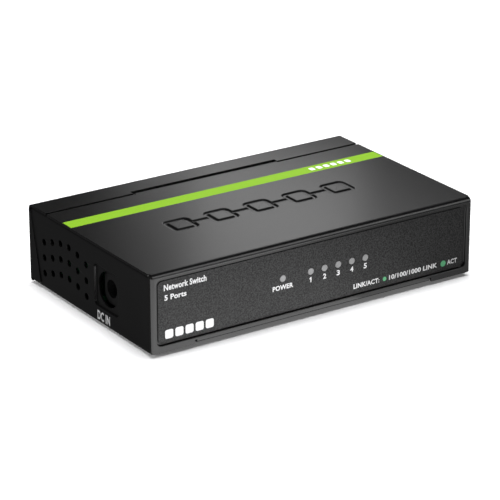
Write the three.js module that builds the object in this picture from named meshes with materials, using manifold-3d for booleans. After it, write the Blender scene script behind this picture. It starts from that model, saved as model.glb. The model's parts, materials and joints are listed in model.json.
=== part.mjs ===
// A five-port desktop network switch in a folded sheet-steel case, with everything it holds inside.
// Millimetres, +Z up. The front panel faces -Y, the five sockets face +Y and the power socket faces -X.
// The origin is on the surface that the feet stand on, under the centre of the case.
import * as THREE from "three";
import { mergeVertices } from "three/addons/utils/BufferGeometryUtils.js";
import Module from "manifold-3d";

const wasm = await Module();
wasm.setup();

// ---- Driving dimensions ----
const WIDTH = 130;
const DEPTH = 79.6;
const CASE_HEIGHT = 28.3;
const FOOT_PROUD = 0.7; // the feet stand this far below the case
const SHEET = 0.8; // steel sheet
const FIT = 0.1; // clearance between two sheets that lie on each other
const SEAT = 0.05; // clearance under a part that sits on the board
const MERGE = 0.2; // how far two pieces of one body reach into each other
const THROUGH = 1; // how far a cutter reaches past what it cuts

const HALF_W = WIDTH / 2;
const HALF_D = DEPTH / 2;

// Cover: top and front in one sheet. The front wall turns back a little at both ends.
const COVER_BEND = 1.5;
const RETURN_DEPTH = 1.2;
const RETURN_BEND = 0.85;
const FOOT_LOW = 0.6; // the front wall's two feet end this far above the underside
const FOOT_CORNER = 1.0;
const TOP_INSIDE = CASE_HEIGHT - SHEET;
const SEAM_Y = 26.95; // rear edge of the cover
const TONGUE_HALF_W = 29.5; // in the middle a tongue steps down and runs on under the rear strip
const TONGUE_START_Y = 27.7;
const TONGUE_RAMP = 0.9;
const TONGUE_END_Y = 36.5;
const TONGUE_TOP_BEND = 0.9;
const TONGUE_FOOT_BEND = 0.3;
const FLANGE_HALF_W = 47.5; // flange along the foot of the front wall, above the floor of the base
const FLANGE_BEND = 0.9;
const FLANGE_RELIEF = 0.8; // slot at each end of the flange
const FLANGE_END_Y = -30;
const FLANGE_SCREW_X = 35;
const FLANGE_SCREW_Y = -34;

// Label recess pressed into the front wall.
const RECESS_HALF_W = 63;
const RECESS_LOW = 2.95;
const RECESS_HIGH = 26.4;
const RECESS_DEPTH = 1.0;
const RECESS_CORNER = 2.2;
const LABEL_THICK = 0.3;
const LABEL_SIDE_GAP = 1.0;
const LABEL_TOP_GAP = 1.2;
const LABEL_FOOT_GAP = 0.3;
const LABEL_CORNER = 1.6;
const PRESS_MARGIN = 0.5; // a pressed step is this much wider behind than in front

// Indicators: one for power, then one for each port.
const PORTS = 5;
const LIGHT_PITCH = 5.6;
const FIRST_LIGHT_X = -2.05;
const POWER_LIGHT_X = -13.35;
const LIGHT_Z = 15.5;
const LIGHT_DIA = 2.3;
const LIGHT_HOLE_DIA = 2.9; // in the cover
const LIGHT_WINDOW_DIA = 2.5; // in the label

// Emblem pressed into the top: squares joined by bars.
const EMBLEM_Y = -6;
const EMBLEM_SIZE = 9.6;
const EMBLEM_STROKE = 1.5;
const EMBLEM_PITCH = 16.1;
const EMBLEM_DEPTH = 0.5;
const EMBLEM_CORNER = 2;

// Base: floor, sides, rear wall and the strip that closes the top at the back.
const SIDE_HALF_W = 64.5;
const SIDE_TOP_BEND = 1.2;
const SIDE_FOOT_BEND = 0.85;
const SIDE_TOP = TOP_INSIDE - FIT;
const SIDE_FLANGE_IN = 60.5;
const SIDE_FLANGE_FRONT_Y = -37.8; // the flange stops short of the pressed recess
const SIDE_FRONT_Y = -38.2;
const SIDE_REAR_Y = 38.7;
const REAR_HALF_W = 64.9;
const REAR_FOOT_BEND = 1.1;
const REAR_TOP_BEND = 2;
const SOCKET_CLEARANCE = 0.5; // between the sockets and the window in the rear wall
const STRIP_FRONT_Y = 28.2;
const NOTCH_CLEARANCE = 0.6; // round the tongue
const NOTCH_REAR_Y = 30;
const FLOOR_FRONT_Y = -36.8;

// Side vents: six columns of three, on a shallow wave.
const VENT_DIA = 2.5;
const VENT_COLUMNS = 6;
const VENT_ROWS = 3;
const VENT_FIRST_Y = 30.3;
const VENT_PITCH_Y = 5.63;
const VENT_PITCH_Z = 5.7;
const WAVE_MIDDLE_Z = 18.05;
const WAVE_HEIGHT = 2.4;
const WAVE_CREST_Y = 14.4;
const WAVE_HALF_LENGTH = 24.2;

// Feet in pressed dimples, and two keyholes for hanging the switch on a wall.
const FOOT_X = 55.5;
const FOOT_Y = 30.6;
const FOOT_DIA = 9.6;
const DIMPLE_DIA = 10.4;
const DIMPLE_DEPTH = 1.0;
const KEYHOLE_X = 38;
const KEYHOLE_Y = 4;
const KEYHOLE_HEAD_DIA = 7.2;
const KEYHOLE_SLOT_W = 3.6;
const KEYHOLE_SLOT_L = 7.5;

// Circuit board on four stand-offs.
const BOARD_TOP = 5.9;
const BOARD_THICK = 1.6;
const BOARD_HALF_W = 58.5;
const BOARD_FRONT_Y = -36.8;
const BOARD_REAR_Y = 38.5;
const STANDOFF_X = 46;
const STANDOFF_REAR_Y = 30;
const STANDOFF_FRONT_Y = -25;
const STANDOFF_DIA = 5.5;
const SCREW_SHANK_R = 1.25;
const SCREW_HOLE_R = 1.45;
const PAN_HEAD_R = 2.75;
const PAN_HEAD_H = 1.7;
const FLAT_HEAD_R = 2.6;
const COUNTERSINK_R = 2.75;
const COUNTERSINK_END_R = 1.6;

// Power socket for a 5.5 mm barrel plug.
const JACK_Y = -10.8;
const JACK_AXIS_Z = 13.25;
const JACK_PANEL_Y = 15.4;
const JACK_PANEL_Z = 14.6;
const JACK_PANEL_DEPTH = 0.8;
const JACK_PANEL_CORNER = 1.4;
const JACK_PANEL_HOLE_DIA = 12.4;
const JACK_NOSE_X = -62.2;
const JACK_NOSE_LENGTH = 3;
const JACK_NOSE_DROP = 5.5; // from the axis down to the rounded foot of the nose
const JACK_NOSE_CORNER = 3.6;
const JACK_TOP = 5; // from the axis up to the roof
const JACK_BORE_R = 3.2;
const JACK_BORE_DEPTH = 9.6;
const JACK_BODY_LENGTH = 10.6;
const JACK_BODY_W = 9;
const JACK_PIN_R = 1.0;
const JACK_PIN_SETBACK = 2.6;

// Five sockets in one moulding, inside a folded steel shield. The latch notch is at the bottom.
const PORT_PITCH = 13.97;
const PORT_BLOCK_HALF_W = (PORTS * PORT_PITCH + 3.4) / 2;
const PORT_BLOCK_LOW = BOARD_TOP + SEAT;
const PORT_BLOCK_HIGH = 19.2;
const PORT_BLOCK_REAR_Y = HALF_D - 0.3; // the shield brings it flush with the rear wall
const PORT_BLOCK_FRONT_Y = 23.7;
const SHIELD = 0.25;
const PORT_HALF_W = 5.95;
const PORT_LOW = 9.1;
const PORT_HIGH = 15.9;
const PORT_DEPTH = 13.4;
const NOTCH_HALF_W = 3.1;
const NOTCH_LOW = 7.7;
const KEY_HALF_W = 1.7;
const KEY_LOW = 6.7;
const COMB_HALF_W = 4.9;
const COMB_HIGH = 17.9;

// Spring contacts: eight wires on a carrier bar by the mouth, hanging back into the socket.
const WIRES = 8;
const WIRE_PITCH = 1.02;
const WIRE_W = 0.45;
const WIRE_THICK = 0.35;
const WIRE_LENGTH = 9.6;
const WIRE_DROOP = THREE.MathUtils.degToRad(16);
const WIRE_ROOT_Y = 37.0;
const WIRE_ROOT_Z = 17.1;
const CARRIER_W = 9.0;
const CARRIER_SIZE = 1.2;

// ---- Materials ----
function paint(color, roughness, metalness = 0) {
  return new THREE.MeshStandardMaterial({ color, roughness, metalness });
}
const blackPaint = paint(0x2b2c2d, 0.45, 0.1);
const labelFilm = paint(0x38393a, 0.6);
const rubber = paint(0x151515, 0.9);
const zincPlate = paint(0xb9bcc0, 0.35, 1);
const tinPlate = paint(0xc9ccd0, 0.3, 1);
const solderMask = paint(0x1e5a34, 0.45);
const blackPlastic = paint(0x161617, 0.5);
const chipPlastic = paint(0x202022, 0.6);
const aluminium = paint(0xb4b6b8, 0.35, 1);
const padGrey = paint(0x8f9699, 0.8);
const goldPlate = paint(0xd6a94a, 0.3, 1);
const clearPlastic = paint(0xd8dadb, 0.25);
const ledResin = paint(0xe8e4c8, 0.3);
const sleeveBlue = paint(0x23306b, 0.4);
const ferrite = paint(0x3a3a3c, 0.7);
const stickerWhite = paint(0xdadada, 0.6);

// ---- Geometry helpers ----
// Axes that a flat shape is drawn on, and the axis that it is pushed along.
const ALONG_X = new THREE.Matrix4().makeBasis(
  new THREE.Vector3(0, 1, 0),
  new THREE.Vector3(0, 0, 1),
  new THREE.Vector3(1, 0, 0),
);
const ALONG_Y = new THREE.Matrix4().makeBasis(
  new THREE.Vector3(1, 0, 0),
  new THREE.Vector3(0, 0, 1),
  new THREE.Vector3(0, -1, 0),
);
const ARC_STEPS = 4;

function solid(geometry) {
  const bare = geometry.clone();
  bare.deleteAttribute("normal");
  bare.deleteAttribute("uv");
  const merged = mergeVertices(bare, 1e-4);
  return new wasm.Manifold(
    new wasm.Mesh({
      numProp: 3,
      vertProperties: merged.attributes.position.array,
      triVerts: new Uint32Array(merged.index.array),
    }),
  );
}

function push(shape, from, to, curveSegments) {
  const geometry = new THREE.ExtrudeGeometry(shape, { depth: to - from, bevelEnabled: false, curveSegments });
  return geometry.translate(0, 0, from);
}
// A shape drawn in Y and Z, pushed along X.
function pushX(shape, from, to, steps = ARC_STEPS) {
  return solid(push(shape, from, to, steps).applyMatrix4(ALONG_X));
}
// A shape drawn in X and Z, pushed along Y.
function pushY(shape, from, to, steps = ARC_STEPS) {
  return solid(push(shape, -to, -from, steps).applyMatrix4(ALONG_Y));
}
// A shape drawn in X and Y, pushed along Z.
function pushZ(shape, from, to, steps = ARC_STEPS) {
  return solid(push(shape, from, to, steps));
}

function box(x0, x1, y0, y1, z0, z1) {
  const geometry = new THREE.BoxGeometry(x1 - x0, y1 - y0, z1 - z0);
  return solid(geometry.translate((x0 + x1) / 2, (y0 + y1) / 2, (z0 + z1) / 2));
}

// A round bar from one radius to another, along X, Y or Z.
function rod(axis, radius, from, to, [a, b], steps = 16, endRadius = radius) {
  const geometry = new THREE.CylinderGeometry(endRadius, radius, to - from, steps);
  geometry.translate(0, (from + to) / 2, 0);
  if (axis === "x") geometry.rotateZ(-Math.PI / 2).translate(0, a, b);
  if (axis === "y") geometry.translate(a, 0, b);
  if (axis === "z") geometry.rotateX(Math.PI / 2).translate(a, b, 0);
  return solid(geometry);
}

function roundedRect(x0, y0, x1, y1, r) {
  const shape = new THREE.Shape();
  shape.absarc(x1 - r, y1 - r, r, 0, Math.PI / 2, false);
  shape.absarc(x0 + r, y1 - r, r, Math.PI / 2, Math.PI, false);
  shape.absarc(x0 + r, y0 + r, r, Math.PI, 1.5 * Math.PI, false);
  shape.absarc(x1 - r, y0 + r, r, 1.5 * Math.PI, 2 * Math.PI, false);
  return shape;
}

function polygon(points) {
  return new THREE.Shape(points.map(([x, y]) => new THREE.Vector2(x, y)));
}

// The section of a folded sheet. points are [u, v, bend radius] along its outer face,
// and the sheet's thickness lies to the left of the way they run.
function foldedSheet(points, thickness = SHEET) {
  const at = points.map(([u, v]) => new THREE.Vector2(u, v));
  const way = at.slice(1).map((p, i) => p.clone().sub(at[i]).normalize());
  const left = (d, t) => new THREE.Vector2(-d.y * t, d.x * t);
  const outer = [at[0]];
  const inner = [at[0].clone().add(left(way[0], thickness))];
  for (let i = 1; i < at.length - 1; i++) {
    const turn = Math.atan2(way[i - 1].cross(way[i]), way[i - 1].dot(way[i]));
    const side = Math.sign(turn);
    const radius = points[i][2];
    const start = at[i].clone().addScaledVector(way[i - 1], -radius * Math.tan(Math.abs(turn) / 2));
    const centre = start.clone().add(left(way[i - 1], side * radius));
    for (let k = 0; k <= ARC_STEPS; k++) {
      const spoke = start.clone().sub(centre).rotateAround(new THREE.Vector2(), (turn * k) / ARC_STEPS);
      outer.push(centre.clone().add(spoke));
      inner.push(centre.clone().addScaledVector(spoke, (radius - side * thickness) / radius));
    }
  }
  outer.push(at.at(-1));
  inner.push(at.at(-1).clone().add(left(way.at(-1), thickness)));
  return new THREE.Shape([...outer, ...inner.reverse()]);
}

function join(solids) {
  return solids.reduce((whole, next) => whole.add(next));
}
function cut(whole, solids) {
  return solids.reduce((rest, next) => rest.subtract(next), whole);
}

// The case stands on its feet, so all of it is lifted by what they stand proud.
const object = new THREE.Group();
const inCase = new THREE.Group();
inCase.position.z = FOOT_PROUD;
object.add(inCase);

function add(name, manifold, material) {
  const { numProp, vertProperties, triVerts } = manifold.getMesh();
  if (numProp !== 3) throw new Error(name + " has more than positions");
  const geometry = new THREE.BufferGeometry();
  geometry.setAttribute("position", new THREE.BufferAttribute(vertProperties, 3));
  geometry.setIndex(new THREE.BufferAttribute(triVerts, 1));
  geometry.computeVertexNormals();
  const mesh = new THREE.Mesh(geometry, material);
  mesh.name = name;
  inCase.add(mesh);
  return mesh;
}

const lightXs = Array.from({ length: PORTS }, (_, i) => FIRST_LIGHT_X + i * LIGHT_PITCH);
const portXs = Array.from({ length: PORTS }, (_, i) => ((PORTS - 1) / 2 - i) * PORT_PITCH);
const corners = [
  ["front_left", -1, -1],
  ["front_right", 1, -1],
  ["rear_left", -1, 1],
  ["rear_right", 1, 1],
];
const standoffs = corners.map(([name, sx, sy]) => [
  name,
  sx * STANDOFF_X,
  sy > 0 ? STANDOFF_REAR_Y : STANDOFF_FRONT_Y,
]);

// ---- Cover ----
function makeCover() {
  const roof = [
    [SEAM_Y, CASE_HEIGHT],
    [-HALF_D, CASE_HEIGHT, COVER_BEND],
    [-HALF_D, FOOT_LOW],
  ];
  const sheet = pushX(foldedSheet(roof), -HALF_W, HALF_W);
  const half = SHEET / 2;
  const returns = [-1, 1].map((side) => {
    const middle = side * (HALF_W - half);
    const rearY = -HALF_D + RETURN_DEPTH;
    return box(middle - half, middle + half, -HALF_D + half, rearY, FOOT_LOW, TOP_INSIDE + half);
  });

  const tongue = pushX(
    foldedSheet([
      [TONGUE_END_Y, SIDE_TOP],
      [TONGUE_START_Y + TONGUE_RAMP, SIDE_TOP, TONGUE_FOOT_BEND],
      [TONGUE_START_Y, CASE_HEIGHT, TONGUE_TOP_BEND],
      [SEAM_Y - MERGE, CASE_HEIGHT],
    ]),
    -TONGUE_HALF_W,
    TONGUE_HALF_W,
  );

  const foot = pushX(
    foldedSheet([
      [-HALF_D, RECESS_LOW],
      [-HALF_D, SHEET + FIT, FLANGE_BEND],
      [FLANGE_END_Y, SHEET + FIT],
    ]),
    -FLANGE_HALF_W,
    FLANGE_HALF_W,
  );
  const bendRelief = box(
    -FLANGE_HALF_W - FLANGE_RELIEF,
    FLANGE_HALF_W + FLANGE_RELIEF,
    -HALF_D - THROUGH,
    -HALF_D + SHEET + THROUGH,
    -THROUGH,
    RECESS_LOW - PRESS_MARGIN,
  );

  const recessBack = pushY(
    roundedRect(
      -RECESS_HALF_W - PRESS_MARGIN,
      RECESS_LOW - PRESS_MARGIN,
      RECESS_HALF_W + PRESS_MARGIN,
      RECESS_HIGH + PRESS_MARGIN,
      RECESS_CORNER + PRESS_MARGIN,
    ),
    -HALF_D + SHEET - MERGE,
    -HALF_D + SHEET + RECESS_DEPTH,
  );
  const recess = pushY(
    roundedRect(-RECESS_HALF_W, RECESS_LOW, RECESS_HALF_W, RECESS_HIGH, RECESS_CORNER),
    -HALF_D - THROUGH,
    -HALF_D + RECESS_DEPTH,
  );

  const lightHoles = [POWER_LIGHT_X, ...lightXs].map((x) =>
    rod("y", LIGHT_HOLE_DIA / 2, -HALF_D - THROUGH, -HALF_D + RECESS_DEPTH + SHEET + THROUGH, [x, LIGHT_Z]),
  );
  const flangeHoles = [-1, 1].map((side) =>
    rod("z", SCREW_HOLE_R, 0, 2 * SHEET + THROUGH, [side * FLANGE_SCREW_X, FLANGE_SCREW_Y]),
  );

  const roundedFront = pushZ(
    roundedRect(-HALF_W, -HALF_D, HALF_W, TONGUE_END_Y + 2 * RETURN_BEND, RETURN_BEND),
    -THROUGH,
    CASE_HEIGHT + THROUGH,
  );

  const roundedFoot = pushY(
    roundedRect(-HALF_W, FOOT_LOW, HALF_W, CASE_HEIGHT + 2 * FOOT_CORNER, FOOT_CORNER),
    -HALF_D - THROUGH,
    HALF_D,
  );

  const folded = join([sheet, ...returns]).subtract(bendRelief);
  const pressed = join([folded, tongue, foot, recessBack]);
  return cut(pressed, [recess, ...lightHoles, ...flangeHoles, ...emblemGrooves()])
    .intersect(roundedFront)
    .intersect(roundedFoot);
}

// Five open squares in a row, joined by bars.
function emblemGrooves() {
  const low = CASE_HEIGHT - EMBLEM_DEPTH;
  const half = EMBLEM_SIZE / 2;
  const inner = half - EMBLEM_STROKE;
  const innerCorner = EMBLEM_CORNER / 2;
  const middle = (PORTS - 1) / 2;
  return Array.from({ length: PORTS }, (_, i) => {
    const x = (i - middle) * EMBLEM_PITCH;
    const square = roundedRect(x - half, EMBLEM_Y - half, x + half, EMBLEM_Y + half, EMBLEM_CORNER);
    square.holes.push(roundedRect(x - inner, EMBLEM_Y - inner, x + inner, EMBLEM_Y + inner, innerCorner));
    const ring = pushZ(square, low, CASE_HEIGHT + THROUGH, 3);
    if (i === 0) return ring;
    const bar = box(
      x - EMBLEM_PITCH + half - MERGE,
      x - half + MERGE,
      EMBLEM_Y - EMBLEM_STROKE / 2,
      EMBLEM_Y + EMBLEM_STROKE / 2,
      low,
      CASE_HEIGHT + THROUGH,
    );
    return ring.add(bar);
  });
}

// ---- Base ----
function ventHoles() {
  const holes = [];
  for (let column = 0; column < VENT_COLUMNS; column++) {
    const y = VENT_FIRST_Y - column * VENT_PITCH_Y;
    const crest = WAVE_HEIGHT * Math.cos((Math.PI * (y - WAVE_CREST_Y)) / WAVE_HALF_LENGTH);
    for (let row = 0; row < VENT_ROWS; row++) {
      const z = WAVE_MIDDLE_Z + crest - row * VENT_PITCH_Z;
      holes.push(rod("x", VENT_DIA / 2, -HALF_W - THROUGH, HALF_W + THROUGH, [y, z], 10));
    }
  }
  return holes;
}

function keyhole(x) {
  const half = KEYHOLE_SLOT_W / 2;
  const low = -THROUGH;
  const high = SHEET + THROUGH;
  const head = rod("z", KEYHOLE_HEAD_DIA / 2, low, high, [x, KEYHOLE_Y]);
  const end = rod("z", half, low, high, [x, KEYHOLE_Y + KEYHOLE_SLOT_L], 12);
  const slot = box(x - half, x + half, KEYHOLE_Y, KEYHOLE_Y + KEYHOLE_SLOT_L, low, high);
  return join([head, end, slot]);
}

function makeBase() {
  const trough = pushY(
    foldedSheet([
      [-SIDE_FLANGE_IN, SIDE_TOP],
      [-SIDE_HALF_W, SIDE_TOP, SIDE_TOP_BEND],
      [-SIDE_HALF_W, 0, SIDE_FOOT_BEND],
      [SIDE_HALF_W, 0, SIDE_FOOT_BEND],
      [SIDE_HALF_W, SIDE_TOP, SIDE_TOP_BEND],
      [SIDE_FLANGE_IN, SIDE_TOP],
    ]),
    SIDE_FRONT_Y,
    SIDE_REAR_Y,
  );
  const floorCutBack = box(
    -SIDE_HALF_W + SIDE_FOOT_BEND,
    SIDE_HALF_W - SIDE_FOOT_BEND,
    SIDE_FRONT_Y - THROUGH,
    FLOOR_FRONT_Y,
    -THROUGH,
    SHEET + DIMPLE_DEPTH + THROUGH,
  );
  const flangesCutBack = box(
    -SIDE_HALF_W + SHEET,
    SIDE_HALF_W - SHEET,
    SIDE_FRONT_Y - THROUGH,
    SIDE_FLANGE_FRONT_Y,
    SIDE_TOP - SIDE_TOP_BEND,
    SIDE_TOP + THROUGH,
  );
  const rear = pushX(
    foldedSheet([
      [SIDE_REAR_Y - MERGE, 0],
      [HALF_D, 0, REAR_FOOT_BEND],
      [HALF_D, CASE_HEIGHT, REAR_TOP_BEND],
      [STRIP_FRONT_Y, CASE_HEIGHT],
    ]),
    -REAR_HALF_W,
    REAR_HALF_W,
  );
  const cornerReliefs = [-1, 1].map((side) => {
    const inner = side * (SIDE_HALF_W - SIDE_FOOT_BEND);
    const outer = side * (HALF_W + THROUGH);
    const frontY = SIDE_REAR_Y - THROUGH;
    return box(Math.min(inner, outer), Math.max(inner, outer), frontY, SIDE_REAR_Y, -THROUGH, SHEET + THROUGH);
  });
  const stripNotch = box(
    -TONGUE_HALF_W - NOTCH_CLEARANCE,
    TONGUE_HALF_W + NOTCH_CLEARANCE,
    STRIP_FRONT_Y - THROUGH,
    NOTCH_REAR_Y,
    TOP_INSIDE - THROUGH,
    CASE_HEIGHT + THROUGH,
  );
  const socketWindow = box(
    -PORT_BLOCK_HALF_W - SOCKET_CLEARANCE,
    PORT_BLOCK_HALF_W + SOCKET_CLEARANCE,
    HALF_D - SHEET - THROUGH,
    HALF_D + THROUGH,
    PORT_BLOCK_LOW - SOCKET_CLEARANCE,
    PORT_BLOCK_HIGH + SOCKET_CLEARANCE,
  );

  const jackPlateX = -SIDE_HALF_W + JACK_PANEL_DEPTH;
  const panelRect = (grow) =>
    roundedRect(
      JACK_Y - JACK_PANEL_Y / 2 - grow,
      JACK_AXIS_Z - JACK_PANEL_Z / 2 - grow,
      JACK_Y + JACK_PANEL_Y / 2 + grow,
      JACK_AXIS_Z + JACK_PANEL_Z / 2 + grow,
      JACK_PANEL_CORNER + grow,
    );
  const jackPanelBack = pushX(panelRect(PRESS_MARGIN), -SIDE_HALF_W + SHEET - MERGE, jackPlateX + SHEET);
  const jackPanel = pushX(panelRect(0), -HALF_W - THROUGH, jackPlateX);
  const jackHole = rod(
    "x",
    JACK_PANEL_HOLE_DIA / 2,
    -HALF_W - THROUGH,
    jackPlateX + SHEET + THROUGH,
    [JACK_Y, JACK_AXIS_Z],
    28,
  );

  const dimples = corners.map(([, sx, sy]) => [sx * FOOT_X, sy * FOOT_Y]);
  const dimpleBackR = DIMPLE_DIA / 2 + PRESS_MARGIN;
  const dimpleBacks = dimples.map((at) => rod("z", dimpleBackR, SHEET - MERGE, SHEET + DIMPLE_DEPTH, at, 20));
  const dimpleHollows = dimples.map((at) => rod("z", DIMPLE_DIA / 2, -THROUGH, DIMPLE_DEPTH, at, 20));

  const screwHoles = [-1, 1].map((side) =>
    rod("z", COUNTERSINK_R, -FIT, SHEET + FIT, [side * FLANGE_SCREW_X, FLANGE_SCREW_Y], 16, COUNTERSINK_END_R),
  );
  const keyholes = [-KEYHOLE_X, KEYHOLE_X].map(keyhole);

  const walls = join([trough, cut(rear, cornerReliefs), jackPanelBack, ...dimpleBacks]);
  return cut(walls, [
    floorCutBack,
    flangesCutBack,
    stripNotch,
    socketWindow,
    jackPanel,
    jackHole,
    ...dimpleHollows,
    ...screwHoles,
    ...keyholes,
    ...ventHoles(),
  ]);
}

// ---- Label, feet, screws and stand-offs ----
function makeLabel() {
  const face = roundedRect(
    -RECESS_HALF_W + LABEL_SIDE_GAP,
    RECESS_LOW + LABEL_FOOT_GAP,
    RECESS_HALF_W - LABEL_SIDE_GAP,
    RECESS_HIGH - LABEL_TOP_GAP,
    LABEL_CORNER,
  );
  const back = -HALF_D + RECESS_DEPTH - SEAT;
  const holes = [POWER_LIGHT_X, ...lightXs].map((x) =>
    rod("y", LIGHT_WINDOW_DIA / 2, -HALF_D, back + THROUGH, [x, LIGHT_Z]),
  );
  return cut(pushY(face, back - LABEL_THICK, back), holes);
}

const STICKER_HALF_W = 25;
const STICKER_HALF_D = 12;
const STICKER_THICK = 0.12;
const STICKER_GAP = 0.02;

// A blank sticker under the floor, between the keyholes.
function makeRatingLabel() {
  const outline = roundedRect(-STICKER_HALF_W, -STICKER_HALF_D, STICKER_HALF_W, STICKER_HALF_D, 2);
  return pushZ(outline, -STICKER_GAP - STICKER_THICK, -STICKER_GAP);
}

// The cross in a screw's head, by the length and the width of its arms.
function driveCross([x, y], length, width, low, high) {
  const arm = (w, d) => box(x - w / 2, x + w / 2, y - d / 2, y + d / 2, low, high);
  return [arm(length, width), arm(width, length)];
}

function panScrew(at, seat, length) {
  const high = seat + PAN_HEAD_H;
  const head = rod("z", PAN_HEAD_R, seat, high, at, 16, PAN_HEAD_R * 0.82);
  const shank = rod("z", SCREW_SHANK_R, seat - length, seat + MERGE, at, 12);
  return cut(head.add(shank), driveCross(at, 4, 0.6, high - 0.7, high + THROUGH));
}

// Countersunk, with its head flush with the underside of the floor.
function flatScrew(at) {
  const head = rod("z", FLAT_HEAD_R, 0.02, SHEET, at, 16, SCREW_SHANK_R);
  const shank = rod("z", SCREW_SHANK_R, SHEET - MERGE, 4.0, at, 12);
  return cut(head.add(shank), driveCross(at, 2.8, 0.5, -THROUGH, 0.35));
}

function makeFoot([x, y]) {
  const radius = FOOT_DIA / 2;
  const chamfer = 0.3;
  const edgeZ = -FOOT_PROUD + chamfer;
  const pad = rod("z", radius, edgeZ, DIMPLE_DEPTH - SEAT, [x, y], 20);
  const tread = rod("z", radius - chamfer, -FOOT_PROUD, edgeZ, [x, y], 20, radius);
  return pad.add(tread);
}

function makeStandoff([x, y]) {
  const post = rod("z", STANDOFF_DIA / 2, SHEET + SEAT, BOARD_TOP - BOARD_THICK - SEAT, [x, y], 6);
  return post.subtract(rod("z", SCREW_HOLE_R, 0, BOARD_TOP, [x, y], 12));
}

// ---- Circuit board and what is soldered on it ----
function makeBoard() {
  const plate = pushZ(
    roundedRect(-BOARD_HALF_W, BOARD_FRONT_Y, BOARD_HALF_W, BOARD_REAR_Y, 1),
    BOARD_TOP - BOARD_THICK,
    BOARD_TOP,
  );
  return cut(
    plate,
    standoffs.map(([, x, y]) => rod("z", SCREW_HOLE_R, 0, BOARD_TOP + 1, [x, y], 12)),
  );
}

// A block on the board, by its centre, footprint and height.
function onBoard([x, y], [w, d], height, lift = SEAT) {
  const low = BOARD_TOP + lift;
  return box(x - w / 2, x + w / 2, y - d / 2, y + d / 2, low, low + height);
}

// A flat chip package with a plate of leads out of its sides.
const CHIP_LIFT = 0.1;
const LEAD_THICK = 0.3;

function chip(at, [w, d], height, [leadW, leadD]) {
  const body = onBoard(at, [w, d], height, SEAT + CHIP_LIFT);
  return body.add(onBoard(at, [leadW, leadD], LEAD_THICK, SEAT));
}

const CHIP_AT = [4, -6];
const CHIP_HEIGHT = 1.4;
const CHIP_SIZE = 14;
const PAD_THICK = 0.4;

function makeHeatSink() {
  const size = 20;
  const fins = 6;
  const finThick = 1.2;
  const baseThick = 1.6;
  const height = 7;
  const [x, y] = CHIP_AT;
  const low = BOARD_TOP + SEAT * 3 + CHIP_LIFT + CHIP_HEIGHT + PAD_THICK;
  const base = box(x - size / 2, x + size / 2, y - size / 2, y + size / 2, low, low + baseThick);
  const pitch = (size - finThick) / (fins - 1);
  const plates = Array.from({ length: fins }, (_, i) => {
    const left = x - size / 2 + i * pitch;
    return box(left, left + finThick, y - size / 2, y + size / 2, low + baseThick - MERGE, low + height);
  });
  return join([base, ...plates]);
}

function makeCrystal([x, y]) {
  const halfW = 2.2;
  const halfD = 5.5;
  const rimOut = 0.3;
  const outline = (out) =>
    roundedRect(x - halfW - out, y - halfD - out, x + halfW + out, y + halfD + out, halfW + out - SEAT);
  const low = BOARD_TOP + SEAT;
  return pushZ(outline(rimOut), low, low + 0.5).add(pushZ(outline(0), low, low + 3.4));
}

function makeCapacitor([x, y], radius, height) {
  const low = BOARD_TOP + SEAT;
  const neckLow = low + 1;
  const neckHigh = low + 1.6;
  const lower = rod("z", radius, low, neckLow, [x, y], 20);
  const neck = rod("z", radius - 0.3, neckLow - MERGE, neckHigh + MERGE, [x, y], 20);
  const upper = rod("z", radius, neckHigh, low + height, [x, y], 20);
  return join([lower, neck, upper]);
}

function makeInductor([x, y]) {
  const half = 3.5;
  const height = 4;
  const flangeThick = 1;
  const low = BOARD_TOP + SEAT;
  const outline = roundedRect(x - half, y - half, x + half, y + half, 1.4);
  const flange = (from) => pushZ(outline, from, from + flangeThick);
  const core = rod("z", 2.9, low, low + height, [x, y], 20);
  return join([flange(low), core, flange(low + height - flangeThick)]);
}

// ---- Light pipes: up from a light on the board, then forward through the front ----
const LED_Y = -31.5;
const LED_HEIGHT = 0.8;
const PIPE_LOW = BOARD_TOP + SEAT * 2 + LED_HEIGHT + 0.2;
const PIPE_SIZE = 2.6;
const PIPE_CHAMFER = 0.4;
const PIPE_ARM = 3; // how far the square arm runs forward before it turns round
const PIPE_END_Y = -HALF_D + RECESS_DEPTH - SEAT - LABEL_THICK;

function makePipe(x) {
  const half = PIPE_SIZE / 2;
  const elbow = polygon([
    [LED_Y - half, PIPE_LOW],
    [LED_Y + half, PIPE_LOW],
    [LED_Y + half, LIGHT_Z - half + PIPE_CHAMFER],
    [LED_Y - half + PIPE_CHAMFER, LIGHT_Z + half],
    [LED_Y - half - PIPE_ARM, LIGHT_Z + half],
    [LED_Y - half - PIPE_ARM, LIGHT_Z - half],
    [LED_Y - half, LIGHT_Z - half],
  ]);
  const leg = pushX(elbow, x - half, x + half);
  return leg.add(rod("y", LIGHT_DIA / 2, PIPE_END_Y, LED_Y - half, [x, LIGHT_Z], 20));
}

// A bar behind the pipes with a leg at each end that stands on the board.
function pipeBridge(firstX, lastX) {
  const x0 = firstX - PIPE_SIZE;
  const x1 = lastX + PIPE_SIZE;
  const frontY = LED_Y + PIPE_SIZE / 2;
  const rearY = frontY + 1.2;
  const barLow = 10;
  const legW = 1.4;
  const bar = box(x0, x1, frontY - MERGE, rearY, barLow, barLow + 2);
  const legs = [x0, x1 - legW].map((x) =>
    box(x, x + legW, frontY, rearY, BOARD_TOP + SEAT, barLow + MERGE),
  );
  return join([bar, ...legs]);
}

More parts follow.
